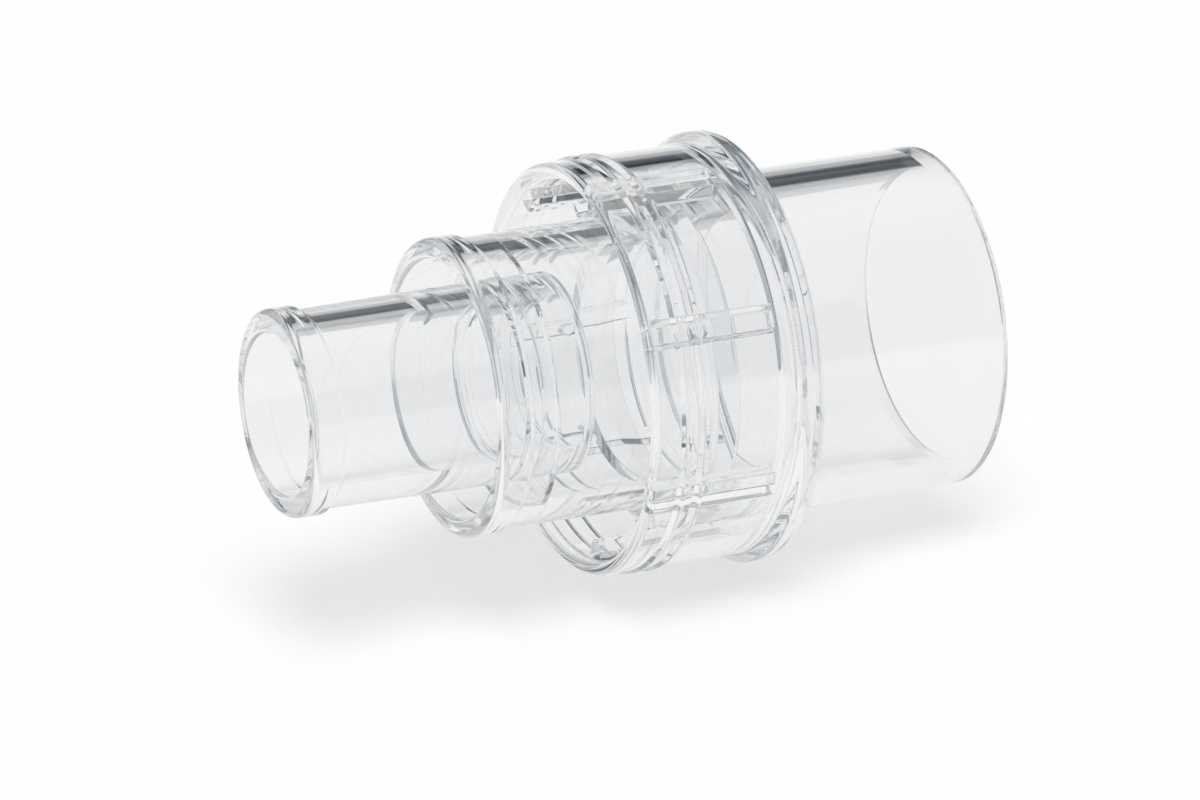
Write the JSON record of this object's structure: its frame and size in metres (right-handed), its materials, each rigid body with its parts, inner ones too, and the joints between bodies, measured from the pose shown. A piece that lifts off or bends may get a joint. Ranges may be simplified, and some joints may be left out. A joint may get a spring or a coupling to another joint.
{
  "type": "airway adapter",
  "caption": "Clear stepped breathing-circuit adapter with small and middle male cones, a ribbed flanged collar and a wide female socket.",
  "frame": {"origin": "centre of the rear socket's flat mouth, which the adapter stands on", "axes": "+Z along the common axis, from the rear socket up to the mouth of the small connector; one of the collar's ribs lies on +X"},
  "size_m": [0.033, 0.033, 0.054],
  "materials": {
    "clear_plastic": "polished, clear as glass"
  },
  "bodies": {
    "root": {"small_connector": "clear_plastic", "middle_connector": "clear_plastic", "ribbed_collar": "clear_plastic", "rear_socket": "clear_plastic"}
  },
  "joints": []
}
